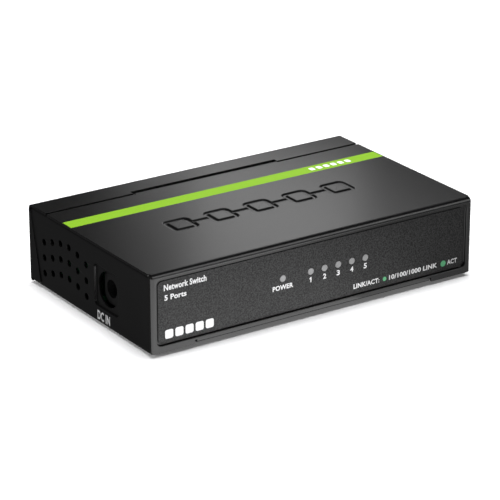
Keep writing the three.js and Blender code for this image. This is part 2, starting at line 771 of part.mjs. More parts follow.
// ---- Power socket ----
// The nose behind the panel: square at the roof and rounded at the foot.
function jackNoseShape() {
  const half = JACK_BODY_W / 2;
  const r = JACK_NOSE_CORNER;
  const foot = JACK_AXIS_Z - JACK_NOSE_DROP;
  const shape = new THREE.Shape();
  shape.moveTo(JACK_Y + half, JACK_AXIS_Z + JACK_TOP);
  shape.lineTo(JACK_Y - half, JACK_AXIS_Z + JACK_TOP);
  shape.absarc(JACK_Y - half + r, foot + r, r, Math.PI, 1.5 * Math.PI, false);
  shape.absarc(JACK_Y + half - r, foot + r, r, 1.5 * Math.PI, 2 * Math.PI, false);
  return shape;
}

function makeJackHousing() {
  const at = [JACK_Y, JACK_AXIS_Z];
  const shoulderX = JACK_NOSE_X + JACK_NOSE_LENGTH;
  const endX = shoulderX + JACK_BODY_LENGTH;
  const nose = pushX(jackNoseShape(), JACK_NOSE_X, shoulderX + MERGE, 6);
  const body = box(
    shoulderX,
    endX,
    JACK_Y - JACK_BODY_W / 2,
    JACK_Y + JACK_BODY_W / 2,
    BOARD_TOP + SEAT,
    JACK_AXIS_Z + JACK_TOP,
  );
  const bore = rod("x", JACK_BORE_R, JACK_NOSE_X - THROUGH, JACK_NOSE_X + JACK_BORE_DEPTH, at, 24);
  const pinHole = rod("x", JACK_PIN_R + FIT, JACK_NOSE_X, endX + THROUGH, at, 16);
  const springSlot = box(
    shoulderX + 1.4,
    LEAF_SLOT_END_X,
    JACK_Y - LEAF_HALF_W - 0.3,
    JACK_Y + LEAF_HALF_W + 0.3,
    JACK_AXIS_Z + JACK_BORE_R - 0.8,
    JACK_AXIS_Z + JACK_TOP + THROUGH,
  );
  return cut(nose.add(body), [bore, pinHole, springSlot]);
}

function makeJackPin() {
  const at = [JACK_Y, JACK_AXIS_Z];
  const tipX = JACK_NOSE_X + JACK_PIN_SETBACK;
  const tipEndX = tipX + 0.6;
  const tailX = JACK_NOSE_X + JACK_NOSE_LENGTH + JACK_BODY_LENGTH + 0.3;
  const endX = tailX + 0.5;
  const tip = rod("x", JACK_PIN_R / 2, tipX, tipEndX, at, 16, JACK_PIN_R);
  const pin = rod("x", JACK_PIN_R, tipEndX, endX, at, 16);
  const tail = box(tailX, endX, JACK_Y - JACK_PIN_R, JACK_Y + JACK_PIN_R, BOARD_TOP + SEAT, JACK_AXIS_Z);
  return join([tip, pin, tail]);
}

// A leaf that presses on the plug's sleeve through the slot in the roof of the housing.
const LEAF_SLOT_END_X = JACK_NOSE_X + JACK_NOSE_LENGTH + JACK_BODY_LENGTH - 1.2;
const LEAF_ROOT_X = LEAF_SLOT_END_X - SEAT;
const LEAF_ROOT_Z = JACK_AXIS_Z + JACK_BORE_R + 1.0;
const LEAF_HALF_W = 1;
const LEAF_LENGTH = 7.2;
const LEAF_THICK = 0.3;

function makeJackLeaf() {
  const tip = LEAF_ROOT_X - LEAF_LENGTH;
  const elbow = tip + 1.6;
  const tipDrop = 0.4;
  const elbowDrop = 1;
  const low = LEAF_ROOT_Z - LEAF_THICK;
  const leaf = polygon([
    [LEAF_ROOT_X, low],
    [LEAF_ROOT_X, LEAF_ROOT_Z],
    [elbow, LEAF_ROOT_Z - elbowDrop],
    [tip, LEAF_ROOT_Z - tipDrop],
    [tip, low - tipDrop],
    [elbow, low - elbowDrop],
  ]);
  return pushY(leaf, JACK_Y - LEAF_HALF_W, JACK_Y + LEAF_HALF_W);
}

// ---- Sockets ----
// The hollow for a plug: the mouth, the notch for its latch and the groove below the notch.
function socketOutline(x, from, to) {
  return [
    box(x - PORT_HALF_W, x + PORT_HALF_W, from, to, PORT_LOW, PORT_HIGH),
    box(x - NOTCH_HALF_W, x + NOTCH_HALF_W, from, to, NOTCH_LOW, PORT_LOW + MERGE),
    box(x - KEY_HALF_W, x + KEY_HALF_W, from, to, KEY_LOW, NOTCH_LOW + MERGE),
  ];
}

function makePortHousing() {
  const block = box(
    -PORT_BLOCK_HALF_W,
    PORT_BLOCK_HALF_W,
    PORT_BLOCK_FRONT_Y,
    PORT_BLOCK_REAR_Y,
    PORT_BLOCK_LOW,
    PORT_BLOCK_HIGH,
  );
  const mouth = PORT_BLOCK_REAR_Y + THROUGH;
  const end = PORT_BLOCK_REAR_Y - PORT_DEPTH;
  const combMouth = PORT_BLOCK_REAR_Y - 1;
  const hollows = portXs.flatMap((x) => [
    ...socketOutline(x, end, mouth),
    box(x - COMB_HALF_W, x + COMB_HALF_W, end, combMouth, PORT_HIGH - MERGE, COMB_HIGH),
  ]);
  return cut(block, hollows);
}

// The face of the shield is cut to the outline of each socket, notch and all.
function makePortShield() {
  const gap = SEAT;
  const inHalf = PORT_BLOCK_HALF_W + gap;
  const outHalf = inHalf + SHIELD;
  const outRear = PORT_BLOCK_REAR_Y + gap + SHIELD;
  const outFront = PORT_BLOCK_FRONT_Y - gap - SHIELD;
  const outHigh = PORT_BLOCK_HIGH + gap + SHIELD;
  const shell = box(-outHalf, outHalf, outFront, outRear, PORT_BLOCK_LOW, outHigh);
  const inside = box(
    -inHalf,
    inHalf,
    PORT_BLOCK_FRONT_Y - gap,
    PORT_BLOCK_REAR_Y + gap,
    PORT_BLOCK_LOW - THROUGH,
    PORT_BLOCK_HIGH + gap,
  );
  const windows = portXs.flatMap((x) => socketOutline(x, outRear - SHIELD - gap, outRear + THROUGH));
  return cut(shell, [inside, ...windows]);
}

function makeContacts(x) {
  const half = CARRIER_SIZE / 2;
  const carrier = box(
    x - CARRIER_W / 2,
    x + CARRIER_W / 2,
    WIRE_ROOT_Y - half,
    WIRE_ROOT_Y + half,
    WIRE_ROOT_Z - half,
    WIRE_ROOT_Z + half,
  );
  const wires = Array.from({ length: WIRES }, (_, i) => {
    const wire = new THREE.BoxGeometry(WIRE_W, WIRE_LENGTH, WIRE_THICK);
    wire.translate(0, -WIRE_LENGTH / 2, 0).rotateX(WIRE_DROOP);
    wire.translate(x + (i - (WIRES - 1) / 2) * WIRE_PITCH, WIRE_ROOT_Y, WIRE_ROOT_Z);
    return solid(wire);
  });
  return join([carrier, ...wires]);
}

// ---- The object ----
add("top_cover", makeCover(), blackPaint);
add("base_tray", makeBase(), blackPaint);
add("front_label", makeLabel(), labelFilm);
add("rating_label", makeRatingLabel(), stickerWhite);
for (const [name, sx, sy] of corners) add("foot_" + name, makeFoot([sx * FOOT_X, sy * FOOT_Y]), rubber);
add("cover_screw_left", flatScrew([-FLANGE_SCREW_X, FLANGE_SCREW_Y]), zincPlate);
add("cover_screw_right", flatScrew([FLANGE_SCREW_X, FLANGE_SCREW_Y]), zincPlate);
for (const [name, x, y] of standoffs) {
  add("standoff_" + name, makeStandoff([x, y]), zincPlate);
  add("board_screw_" + name, panScrew([x, y], BOARD_TOP + SEAT, 4.6), zincPlate);
}

add("circuit_board", makeBoard(), solderMask);
add("switch_chip", chip(CHIP_AT, [CHIP_SIZE, CHIP_SIZE], CHIP_HEIGHT, [16, 16]), chipPlastic);
add(
  "thermal_pad",
  onBoard(CHIP_AT, [13, 13], PAD_THICK, SEAT * 2 + CHIP_LIFT + CHIP_HEIGHT),
  padGrey,
);
add("heat_sink", makeHeatSink(), aluminium);
portXs.forEach((x, i) => {
  add("port_" + (i + 1) + "_transformer", chip([x, 15.8], [12.2, 8.4], 5.2, [12, 10.4]), chipPlastic);
});
add("crystal", makeCrystal([24, -8]), tinPlate);
add("config_memory", chip([-14, -12], [5, 3.9], 1.5, [4.6, 6]), chipPlastic);
add("voltage_regulator", chip([-43, 2], [6.5, 3.5], 1.6, [5.6, 7]), chipPlastic);
add("input_diode", chip([-43, -17.5], [4.3, 2.6], 2.1, [5.2, 1.6]), chipPlastic);
add("input_fuse", onBoard([-43, -3.6], [4.6, 3.2], 0.9), ferrite);
add("power_inductor", makeInductor([-35, -9]), ferrite);
add("input_capacitor", makeCapacitor([-34, -22], 4, 11.5), sleeveBlue);
add("output_capacitor", makeCapacitor([-34, 2], 3.15, 8), sleeveBlue);
add("power_led", onBoard([POWER_LIGHT_X, LED_Y], [2, 1.3], LED_HEIGHT), ledResin);
lightXs.forEach((x, i) => {
  add("port_" + (i + 1) + "_led", onBoard([x, LED_Y], [2, 1.3], LED_HEIGHT), ledResin);
});
add(
  "power_light_pipe",
  makePipe(POWER_LIGHT_X).add(pipeBridge(POWER_LIGHT_X, POWER_LIGHT_X)),
  clearPlastic,
);
add(
  "port_light_pipe",
  join([...lightXs.map(makePipe), pipeBridge(lightXs[0], lightXs[PORTS - 1])]),
  clearPlastic,
);

add("dc_jack_housing", makeJackHousing(), blackPlastic);
add("dc_jack_pin", makeJackPin(), tinPlate);
add("dc_jack_leaf", makeJackLeaf(), tinPlate);
add("port_housing", makePortHousing(), blackPlastic);
add("port_shield", makePortShield(), tinPlate);
portXs.forEach((x, i) => add("port_" + (i + 1) + "_contacts", makeContacts(x), goldPlate));

export default object;
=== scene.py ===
"""Looks of a desktop network switch: painted sheet-steel case, printed front label, sockets and board."""
import json
import math

import bmesh
import bpy
from mathutils import Matrix, Vector, geometry


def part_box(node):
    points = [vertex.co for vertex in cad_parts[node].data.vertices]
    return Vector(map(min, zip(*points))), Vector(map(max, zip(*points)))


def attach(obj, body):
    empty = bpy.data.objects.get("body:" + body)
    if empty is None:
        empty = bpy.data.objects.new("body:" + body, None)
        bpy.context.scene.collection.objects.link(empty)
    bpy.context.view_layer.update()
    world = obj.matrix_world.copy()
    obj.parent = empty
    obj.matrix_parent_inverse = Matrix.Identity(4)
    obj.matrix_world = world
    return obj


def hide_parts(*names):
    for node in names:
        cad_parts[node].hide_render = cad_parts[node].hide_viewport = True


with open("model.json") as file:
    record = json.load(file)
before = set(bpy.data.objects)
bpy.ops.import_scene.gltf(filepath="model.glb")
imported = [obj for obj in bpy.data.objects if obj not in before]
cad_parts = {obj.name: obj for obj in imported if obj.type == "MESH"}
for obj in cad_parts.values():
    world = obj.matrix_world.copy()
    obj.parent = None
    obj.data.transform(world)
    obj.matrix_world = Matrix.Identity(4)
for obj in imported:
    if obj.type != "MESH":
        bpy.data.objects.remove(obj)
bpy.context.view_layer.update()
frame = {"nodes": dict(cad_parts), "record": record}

MM = 0.001
CASE = "case"  # the body that all fixed pieces ride on


def node_box(node):
    """A CAD node's lowest and highest corners, in millimetres."""
    return [Vector(corner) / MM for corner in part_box(node)]


# ---- Places, in millimetres, from the frame ----
cover_low, cover_high = node_box("top_cover")
base_low, base_high = node_box("base_tray")
label_low, label_high = node_box("front_label")
shield_low, shield_high = node_box("port_shield")

HALF_W = cover_high.x
FRONT_Y = cover_low.y
REAR_Y = base_high.y
TOP_Z = cover_high.z - 0.03  # leaves room for the ink on it
FLOOR_Z = base_low.z
SHEET = 0.8

COVER_BEND = 1.5
SEAM_Y = 26.95
TONGUE_HALF_W = 29.5
TONGUE_START_Y = 27.7
TONGUE_END_Y = cover_high.y
TONGUE_Z = TOP_Z - SHEET - 0.1
CORNER_R = 0.85  # bend between the front wall and its short returns
RETURN_END_Y = FRONT_Y + 1.2
FOOT_LOW = FLOOR_Z + 0.6
FOOT_CORNER = 1.0
FLANGE_HALF_W = 47.5
FLANGE_BEND = 0.9
FLANGE_Z = FLOOR_Z + SHEET + 0.1
FLANGE_END_Y = -30

RECESS_HALF_W = 63
RECESS_LOW = FLOOR_Z + 2.95
RECESS_HIGH = FLOOR_Z + 26.4
RECESS_CORNER = 2.2
RECESS_DEPTH = 1.0
LIGHT_Z = FLOOR_Z + 15.5
LIGHT_HOLE_R = 1.45
LABEL_HOLE_R = 1.25

STRIPE_LOW_Y = 11.2
STRIPE_HIGH_Y = 17.1
STRIPE_HALF_W = 64.6

SIDE_X = 64.5
SIDE_TOP_Z = TONGUE_Z
SIDE_FRONT_Y = base_low.y
SIDE_REAR_Y = 38.7
SIDE_TOP_BEND = 1.2
SIDE_FOOT_BEND = 0.85
SIDE_FLANGE_IN = 60.5
SIDE_FLANGE_FRONT_Y = -37.8
REAR_HALF_W = base_high.x
REAR_TOP_BEND = 2
STRIP_FRONT_Y = 28.2
STRIP_NOTCH_Y = 30
FLOOR_FRONT_Y = -36.8

VENT_R = 1.23
JACK_RECESS_DEPTH = 0.8
JACK_HOLE_R = 6.2
JACK_PANEL_HALF_W = 7.7
JACK_PANEL_HALF_H = 7.3
JACK_PANEL_CORNER = 1.4
JACK_AXIS_DROP = 5  # from the top of the socket housing to the middle of its bore
PRESS_RADIUS = 0.35

DIMPLE_R = 5.2
DIMPLE_DEPTH = 1.0
SCREW_HOLE_R = 2.75
KEYHOLE_X = 38
REAR_FOOT_BEND = 1.1
PORT_WINDOW_GAP = 0.25
NOTCH_GAP = 0.6
SIDE_MARGIN = 0.6  # a flat border round the side, which keeps its shading even
LABEL_CORNER = 1.6
LABEL_THICK = 0.3


def lamp_xs():
    """The middle of each indicator, the power lamp first."""
    names = ["power_led"] + [f"port_{i}_led" for i in range(1, 6)]
    return [sum(corner.x for corner in node_box(name)) / 2 for name in names]


# ---- Sheet metal: flat panels, bends and pressed steps in one skin, which is then thickened ----
class Skin:
    def __init__(self):
        self.mesh = bmesh.new()
        self.points = {}

    def vertex(self, point):
        key = tuple(round(c, 3) for c in point)
        if key not in self.points:
            self.points[key] = self.mesh.verts.new(Vector(point) * MM)
        return self.points[key]

    def face(self, corners, material=0):
        ring = list(dict.fromkeys(self.vertex(p) for p in corners))
        if len(ring) > 2 and not self.mesh.faces.get(ring):
            self.mesh.faces.new(ring).material_index = material

    def panel(self, place, outline, holes=(), material=0):
        """A flat polygon with holes. place turns its two coordinates into a point."""
        rings = [[Vector((u, v, 0)) for u, v in ring] for ring in (outline, *holes)]
        flat = [p for ring in rings for p in ring]
        for corners in geometry.tessellate_polygon(rings):
            self.face([place(flat[i].x, flat[i].y) for i in corners], material)

    def loft(self, rows, closed=False):
        """Quads between rows of points that run side by side."""
        for row, after in zip(rows, rows[1:]):
            count = len(row)
            for i in range(count if closed else count - 1):
                j = (i + 1) % count
                self.face([row[i], row[j], after[j], after[i]])

    def press(self, place, outline_at, steps):
        """A pressed step: outline_at(grow) at each (grow, depth), with place(u, v, depth)."""
        self.loft([[place(u, v, depth) for u, v in outline_at(grow)] for grow, depth in steps], True)

    def piece(self, name, materials, thickness, edge=0.08, replaces=()):
        """The finished object. Every skin faces away from the middle of the case."""
        bmesh.ops.recalc_face_normals(self.mesh, faces=self.mesh.faces)
        middle = Vector((0, 0, (FLOOR_Z + TOP_Z) / 2)) * MM
        outward = sum(f.normal.dot(f.calc_center_median() - middle) * f.calc_area() for f in self.mesh.faces)
        if outward < 0:
            bmesh.ops.reverse_faces(self.mesh, faces=self.mesh.faces)
        data = bpy.data.meshes.new(name)
        self.mesh.to_mesh(data)
        self.mesh.free()
        obj = bpy.data.objects.new(name, data)
        bpy.context.scene.collection.objects.link(obj)
        for material in materials:
            data.materials.append(material)
        thicken = obj.modifiers.new("sheet", "SOLIDIFY")
        thicken.thickness = thickness * MM
        thicken.offset = -1
        thicken.use_even_offset = True
        soften(obj, edge)
        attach(obj, CASE)
        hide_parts(*replaces)
        return obj


def soften(obj, width, segments=2, angle=40):
    """Rounds the sharp edges and shades the rest smooth, with flat faces kept flat."""
    for polygon in obj.data.polygons:
        polygon.use_smooth = True
    bevel = obj.modifiers.new("edges", "BEVEL")
    bevel.width = width * MM
    bevel.segments = segments
    bevel.limit_method = "ANGLE"
    bevel.angle_limit = math.radians(angle)
    bevel.use_clamp_overlap = False
    bevel.miter_outer = "MITER_ARC"
    normals = obj.modifiers.new("normals", "WEIGHTED_NORMAL")
    normals.mode = "FACE_AREA"
    normals.weight = 100
    normals.keep_sharp = False


def arc(cu, cv, ru, rv, start, end, steps):
    """Points of an elliptical arc, angles in degrees."""
    angles = [math.radians(start + (end - start) * k / steps) for k in range(steps + 1)]
    return [(cu + ru * math.cos(a), cv + rv * math.sin(a)) for a in angles]


def rounded(u0, v0, u1, v1, r, steps=8):
    return (
        arc(u1 - r, v1 - r, r, r, 0, 90, steps)
        + arc(u0 + r, v1 - r, r, r, 90, 180, steps)
        + arc(u0 + r, v0 + r, r, r, 180, 270, steps)
        + arc(u1 - r, v0 + r, r, r, 270, 360, steps)
    )


def circle(u, v, r, steps=32):
    return arc(u, v, r, r, 0, 360, steps)[:-1]


def pressed_step(depth, radius, steps=5):
    """Pairs of outward growth and depth that round over into a wall and out again on to the floor."""
    over = [(radius - radius * math.sin(a), radius - radius * math.cos(a)) for a in quarter(steps)]
    under = [(-radius + radius * math.cos(a), depth - radius + radius * math.sin(a)) for a in quarter(steps)]
    return over + under


def quarter(steps):
    return [math.pi / 2 * k / steps for k in range(steps + 1)]


def on_top(x, y, drop=0.0):
    return (x, y, TOP_Z - drop)


def on_front(x, z, depth=0.0):
    return (x, FRONT_Y + depth, z)


# ---- Top cover ----
EMBLEM_Y = -6
EMBLEM_SIZE = 9.6
EMBLEM_STROKE = 1.4
EMBLEM_PITCH = 16.1
EMBLEM_COUNT = 5
EMBLEM_DEPTH = 0.48
EMBLEM_SOFT = 0.4
EMBLEM_STEP = 0.2
EMBLEM_CORNER = 2
EMBLEM_PATCH_LENGTH = 76
EMBLEM_PATCH_WIDTH = 12


def emblem_distance(x, y):
    """How far a point of the top is outside the emblem's grooves: linked squares in a row."""
    half = EMBLEM_SIZE / 2
    reach = (EMBLEM_COUNT - 1) / 2
    nearest = round(max(-reach, min(reach, x / EMBLEM_PITCH)))
    dx = abs(x - nearest * EMBLEM_PITCH) - (half - EMBLEM_CORNER)
    dy = abs(y - EMBLEM_Y) - (half - EMBLEM_CORNER)
    to_square = math.hypot(max(dx, 0), max(dy, 0)) + min(max(dx, dy), 0) - EMBLEM_CORNER
    to_ring = abs(to_square + EMBLEM_STROKE / 2) - EMBLEM_STROKE / 2
    to_bar = max(abs(y - EMBLEM_Y) - EMBLEM_STROKE / 2, -to_square, abs(x) - reach * EMBLEM_PITCH)
    return min(to_ring, to_bar)


def emblem_drop(x, y):
    t = max(0.0, min(1.0, 0.5 - emblem_distance(x, y) / (2 * EMBLEM_SOFT)))
    return EMBLEM_DEPTH * t * t * (3 - 2 * t)


def emblem_patch(skin):
    """The fine grid that holds the pressed emblem. Returns its rim, to cut from the top."""
    columns = int(EMBLEM_PATCH_LENGTH / EMBLEM_STEP) + 1
    rows = int(EMBLEM_PATCH_WIDTH / EMBLEM_STEP) + 1
    xs = [(i - (columns - 1) / 2) * EMBLEM_STEP for i in range(columns)]
    ys = [EMBLEM_Y + (j - (rows - 1) / 2) * EMBLEM_STEP for j in range(rows)]
    skin.loft([[on_top(x, y, emblem_drop(x, y)) for x in xs] for y in ys])
    bottom = [(x, ys[0]) for x in xs]
    right = [(xs[-1], y) for y in ys[1:-1]]
    top = [(x, ys[-1]) for x in reversed(xs)]
    left = [(xs[0], y) for y in reversed(ys[1:-1])]
    return bottom + right + top + left


def cover_top(skin):
    bend_y = FRONT_Y + COVER_BEND
    corner_x = HALF_W - CORNER_R
    front_band = [
        (-corner_x, bend_y),
        (corner_x, bend_y),
        *arc(corner_x, bend_y + CORNER_R, CORNER_R, CORNER_R, -90, 0, 6)[1:],
        (HALF_W, STRIPE_LOW_Y),
        (STRIPE_HALF_W, STRIPE_LOW_Y),
        (-STRIPE_HALF_W, STRIPE_LOW_Y),
        (-HALF_W, STRIPE_LOW_Y),
        *arc(-corner_x, bend_y + CORNER_R, CORNER_R, CORNER_R, 180, 270, 6)[:-1],
    ]
    skin.panel(on_top, front_band, [emblem_patch(skin)])
    for side in (-1, 1):
        edge = [side * STRIPE_HALF_W, side * HALF_W]
        skin.loft([[on_top(x, y) for x in edge] for y in (STRIPE_LOW_Y, STRIPE_HIGH_Y)])
    stripe = [
        (-STRIPE_HALF_W, STRIPE_LOW_Y),
        (STRIPE_HALF_W, STRIPE_LOW_Y),
        (STRIPE_HALF_W, STRIPE_HIGH_Y),
        (-STRIPE_HALF_W, STRIPE_HIGH_Y),
    ]
    skin.panel(on_top, stripe, material=1)
    rear_band = [
        (-HALF_W, STRIPE_HIGH_Y),
        (-STRIPE_HALF_W, STRIPE_HIGH_Y),
        (STRIPE_HALF_W, STRIPE_HIGH_Y),
        (HALF_W, STRIPE_HIGH_Y),
        (HALF_W, SEAM_Y),
        (TONGUE_HALF_W, SEAM_Y),
        (TONGUE_HALF_W, TONGUE_START_Y),
        (-TONGUE_HALF_W, TONGUE_START_Y),
        (-TONGUE_HALF_W, SEAM_Y),
        (-HALF_W, SEAM_Y),
    ]
    skin.panel(on_top, rear_band)


def cover_tongue(skin):
    profile = [
        (TONGUE_START_Y, TOP_Z),
        (TONGUE_START_Y + 0.2, TOP_Z - 0.06),
        (TONGUE_START_Y + 0.7, TONGUE_Z + 0.06),
        (TONGUE_START_Y + 0.9, TONGUE_Z),
        (TONGUE_END_Y, TONGUE_Z),
    ]
    skin.loft([[(x, y, z) for x in (-TONGUE_HALF_W, TONGUE_HALF_W)] for y, z in profile])


def foot_line(x):
    """The lowest point of the front wall at x, with its lower corners rounded."""
    past = max(0.0, abs(x) - (HALF_W - FOOT_CORNER))
    return FOOT_LOW + FOOT_CORNER - math.sqrt(max(0.0, FOOT_CORNER**2 - past**2))


def cover_front(skin):
    corner_x = HALF_W - CORNER_R
    bend_z = TOP_Z - COVER_BEND
    bend_y = FRONT_Y + COVER_BEND
    foot_z = FLANGE_Z + FLANGE_BEND
    relief_x = FLANGE_HALF_W + 0.8

    top_bend = arc(bend_y, bend_z, COVER_BEND, COVER_BEND, 90, 180, 8)
    skin.loft([[(x, y, z) for x in (-corner_x, corner_x)] for y, z in top_bend])
    for side in (-1, 1):
        rows = []
        upright = []
        for b in quarter(8):
            across = side * (corner_x + CORNER_R * math.sin(b))
            radius = COVER_BEND - CORNER_R * (1 - math.cos(b))
            turn = [(bend_y - radius * math.sin(a), bend_z + radius * math.cos(a)) for a in quarter(8)]
            rows.append([(across, y, z) for y, z in turn])
            upright.append((across, bend_y - radius))
        skin.loft(rows)
        skin.face([*rows[-1], (side * HALF_W, bend_y, bend_z)])
        upright.append((side * HALF_W, RETURN_END_Y))
        skin.loft([[(x, y, z) for z in (foot_line(x), bend_z)] for x, y in upright])

    outline = [
        (-corner_x, bend_z),
        (-corner_x, foot_line(corner_x)),
        (-HALF_W + FOOT_CORNER, FOOT_LOW),
        (-relief_x, FOOT_LOW),
        (-relief_x, foot_z + 0.3),
        (-FLANGE_HALF_W, foot_z + 0.3),
        (-FLANGE_HALF_W, foot_z),
        (FLANGE_HALF_W, foot_z),
        (FLANGE_HALF_W, foot_z + 0.3),
        (relief_x, foot_z + 0.3),
        (relief_x, FOOT_LOW),
        (HALF_W - FOOT_CORNER, FOOT_LOW),
        (corner_x, foot_line(corner_x)),
        (corner_x, bend_z),
    ]

    def recess(grow):
        return rounded(
            -RECESS_HALF_W - grow,
            RECESS_LOW - grow,
            RECESS_HALF_W + grow,
            RECESS_HIGH + grow,
            RECESS_CORNER + grow,
        )

    steps = pressed_step(RECESS_DEPTH, PRESS_RADIUS)
    skin.panel(on_front, outline, [recess(steps[0][0])])
    skin.press(on_front, recess, steps)
    holes = [circle(x, LIGHT_Z, LIGHT_HOLE_R) for x in lamp_xs()]
    skin.panel(lambda x, z: on_front(x, z, RECESS_DEPTH), recess(steps[-1][0]), holes)

    foot_bend = arc(FRONT_Y + FLANGE_BEND, foot_z, FLANGE_BEND, FLANGE_BEND, 180, 270, 8)
    foot_bend.append((FLANGE_END_Y, FLANGE_Z))
    skin.loft([[(x, y, z) for x in (-FLANGE_HALF_W, FLANGE_HALF_W)] for y, z in foot_bend])


def make_cover(paint, stripe):
    skin = Skin()
    cover_top(skin)
    cover_tongue(skin)
    cover_front(skin)
    return skin.piece("cover_sheet", [paint, stripe], SHEET - 0.01, replaces=["top_cover"])


# ---- Base ----
VENT_COLUMNS = 6
VENT_ROWS = 3
VENT_FIRST_Y = 30.3
VENT_PITCH_Y = 5.63
VENT_PITCH_Z = 5.7
WAVE_MIDDLE_Z = FLOOR_Z + 18.05
WAVE_HEIGHT = 2.4
WAVE_CREST_Y = 14.4
WAVE_HALF_LENGTH = 24.2


def vents():
    """Rings of the side vents: columns of three on a shallow wave."""
    rings = []
    for column in range(VENT_COLUMNS):
        y = VENT_FIRST_Y - column * VENT_PITCH_Y
        crest = WAVE_HEIGHT * math.cos(math.pi * (y - WAVE_CREST_Y) / WAVE_HALF_LENGTH)
        for row in range(VENT_ROWS):
            rings.append(circle(y, WAVE_MIDDLE_Z + crest - row * VENT_PITCH_Z, VENT_R, 24))
    return rings


def keyhole(x):
    """Round head with a slot running towards the rear."""
    half = 1.8
    head = 3.6
    lean = math.degrees(math.asin(half / head))
    middle_y = 4
    end = arc(x, middle_y + 7.5, half, half, 0, 180, 12)
    return arc(x, middle_y, head, head, 90 + lean, 450 - lean, 32) + end


def base_side(skin, side):
    x = side * SIDE_X
    low = FLOOR_Z + SIDE_FOOT_BEND
    high = SIDE_TOP_Z - SIDE_TOP_BEND

    def outline(inward):
        front = SIDE_FRONT_Y + inward
        rear = SIDE_REAR_Y - inward
        return [
            (front, low + inward),
            (FLOOR_FRONT_Y, low + inward),
            (rear, low + inward),
            (rear, high - inward),
            (front, high - inward),
        ]

    holes = vents()
    if side < 0:
        holes.append(jack_recess(skin))
    skin.loft([[(x, y, z) for y, z in outline(inward)] for inward in (0, SIDE_MARGIN)], True)
    skin.panel(lambda y, z: (x, y, z), outline(SIDE_MARGIN), holes)

    top_x = SIDE_X - SIDE_TOP_BEND
    profile = arc(top_x, SIDE_TOP_Z - SIDE_TOP_BEND, SIDE_TOP_BEND, SIDE_TOP_BEND, 0, 90, 8)
    rows = [[(side * u, y, z) for y in (SIDE_FRONT_Y, SIDE_REAR_Y)] for u, z in profile]
    rows.append([(side * SIDE_FLANGE_IN, y, SIDE_TOP_Z) for y in (SIDE_FLANGE_FRONT_Y, SIDE_REAR_Y)])
    skin.loft(rows)
    foot_x = SIDE_X - SIDE_FOOT_BEND
    foot = arc(foot_x, FLOOR_Z + SIDE_FOOT_BEND, SIDE_FOOT_BEND, SIDE_FOOT_BEND, 0, -90, 8)
    skin.loft([[(side * u, y, z) for y in (SIDE_FRONT_Y, FLOOR_FRONT_Y, SIDE_REAR_Y)] for u, z in foot])


def jack_recess(skin):
    """The pressed panel round the power socket. Returns the ring that it takes out of the side."""
    jack_low, jack_high = node_box("dc_jack_housing")
    jack_y = (jack_low.y + jack_high.y) / 2
    jack_z = jack_high.z - JACK_AXIS_DROP

    def ring(grow):
        return rounded(
            jack_y - JACK_PANEL_HALF_W - grow,
            jack_z - JACK_PANEL_HALF_H - grow,
            jack_y + JACK_PANEL_HALF_W + grow,
            jack_z + JACK_PANEL_HALF_H + grow,
            JACK_PANEL_CORNER + grow,
        )

    def place(y, z, depth=JACK_RECESS_DEPTH):
        return (-SIDE_X + depth, y, z)

    steps = pressed_step(JACK_RECESS_DEPTH, PRESS_RADIUS)
    skin.press(place, ring, steps)
    skin.panel(place, ring(steps[-1][0]), [circle(jack_y, jack_z, JACK_HOLE_R, 64)])
    return ring(steps[0][0])


def base_floor(skin):
    side_x = SIDE_X - SIDE_FOOT_BEND

    def place(x, y, rise=0.0):
        return (x, y, FLOOR_Z + rise)

    outline = [
        (-side_x, FLOOR_FRONT_Y),
        (side_x, FLOOR_FRONT_Y),
        (side_x, SIDE_REAR_Y),
        (-side_x, SIDE_REAR_Y),
    ]
    holes = [keyhole(-KEYHOLE_X), keyhole(KEYHOLE_X)]
    steps = pressed_step(DIMPLE_DEPTH, PRESS_RADIUS)
    for name in ("front_left", "front_right", "rear_left", "rear_right"):
        low, high = node_box("foot_" + name)
        x, y = (low.x + high.x) / 2, (low.y + high.y) / 2
        skin.press(place, lambda grow: circle(x, y, DIMPLE_R + grow, 40), steps)
        skin.panel(lambda u, v: place(u, v, DIMPLE_DEPTH), circle(x, y, DIMPLE_R + steps[-1][0], 40))
        holes.append(circle(x, y, DIMPLE_R + steps[0][0], 40))
    for name in ("left", "right"):
        low, high = node_box("cover_screw_" + name)
        holes.append(circle((low.x + high.x) / 2, (low.y + high.y) / 2, SCREW_HOLE_R))
    skin.panel(place, outline, holes)


